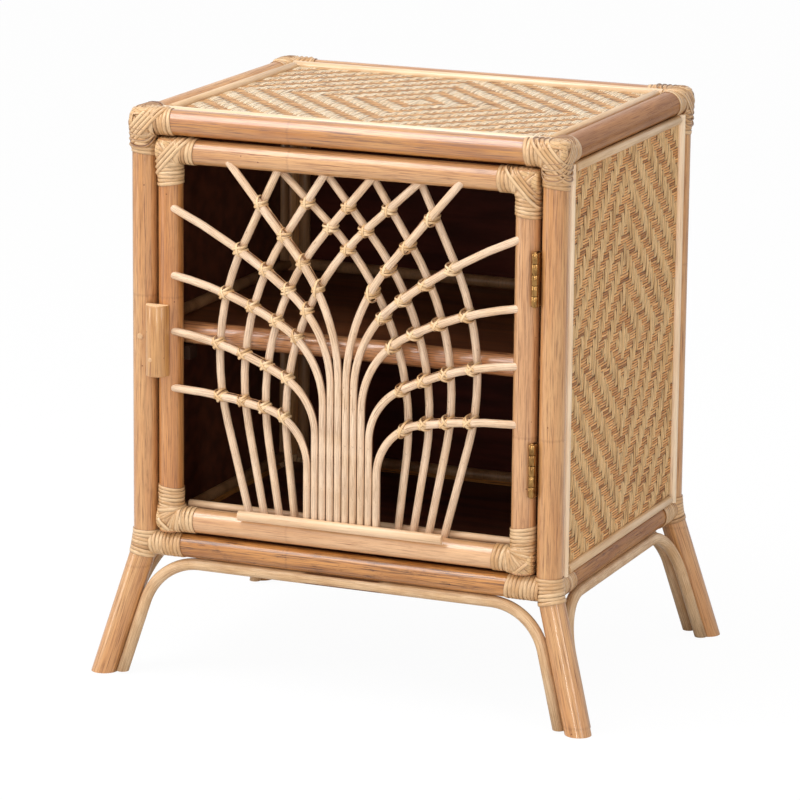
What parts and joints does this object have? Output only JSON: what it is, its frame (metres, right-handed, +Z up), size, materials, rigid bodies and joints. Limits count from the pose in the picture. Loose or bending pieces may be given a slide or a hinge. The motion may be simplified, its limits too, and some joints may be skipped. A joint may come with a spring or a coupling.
{
  "type": "side table with storage compartment and door",
  "caption": "Rattan side table on splayed arched legs: woven top and sides, a dark compartment with a shelf, and a hinged door with a lattice of bent canes.",
  "frame": {"origin": "on the floor under the middle of the table", "axes": "+Z up, +X to the table's right as seen from the front, -Y towards the side with the door"},
  "size_m": [0.523, 0.3942, 0.5611],
  "materials": {
    "rattan_pole": "lacquered peeled rattan pole with fine grain, satin",
    "rattan_cane": "lacquered pale rattan cane, satin",
    "rattan_peel": "wound rattan peel, satin",
    "rattan_bead": "split rattan core, lacquered",
    "woven_mat": "twill mat of light and tan strands",
    "plywood": "thin plywood, stained dark inside",
    "dark_stained_wood": "dark brown stain, satin",
    "brass": "brass-plated steel",
    "screw_steel": "plated steel",
    "catch_plastic": "moulded brown plastic"
  },
  "bodies": {
    "cabinet": {"back_beads": "rattan_bead", "back_board": "plywood", "base_joint_bindings": "rattan_peel", "base_rail_back": "rattan_pole", "base_rail_front": "rattan_pole", "base_rail_left": "rattan_pole", "base_rail_right": "rattan_pole", "bottom_board": "dark_stained_wood", "hinge_frame_leaves": "brass", "leg_arch_back": "rattan_cane", "leg_arch_front": "rattan_cane", "leg_arch_left": "rattan_cane", "leg_arch_right": "rattan_cane", "magnetic_catch": "catch_plastic", "post_back_left": "rattan_pole", "post_back_right": "rattan_pole", "post_front_left": "rattan_pole", "post_front_right": "rattan_pole", "shelf_board": "dark_stained_wood", "shelf_front_rail": "dark_stained_wood", "side_beads_left": "rattan_bead", "side_beads_right": "rattan_bead", "side_board_left": "plywood", "side_board_right": "plywood", "side_woven_mat_left": "woven_mat", "side_woven_mat_right": "woven_mat", "top_beads": "rattan_bead", "top_board": "plywood", "top_corner_bindings": "rattan_peel", "top_rail_back": "rattan_pole", "top_rail_front": "rattan_pole", "top_rail_left": "rattan_pole", "top_rail_right": "rattan_pole", "top_woven_mat": "woven_mat"},
    "door": {"cane_cover_strip": "rattan_bead", "cane_crossing_ties": "rattan_peel", "catch_strike_plate": "screw_steel", "door_corner_bindings": "rattan_peel", "door_handle": "rattan_pole", "door_rail_bottom": "rattan_pole", "door_rail_top": "rattan_pole", "door_sill_bead": "rattan_bead", "door_stile_left": "rattan_pole", "door_stile_right": "rattan_pole", "fan_canes_left": "rattan_cane", "fan_canes_right": "rattan_cane", "hinge_door_leaves": "brass", "upright_canes_left": "rattan_cane", "upright_canes_right": "rattan_cane"}
  },
  "joints": [
    {"name": "door_hinge", "type": "hinge", "parent": "cabinet", "child": "door", "pos_m": [0.195, -0.1785, 0.339], "axis": [0, 0, 1], "range_deg": [0, 110]}
  ]
}
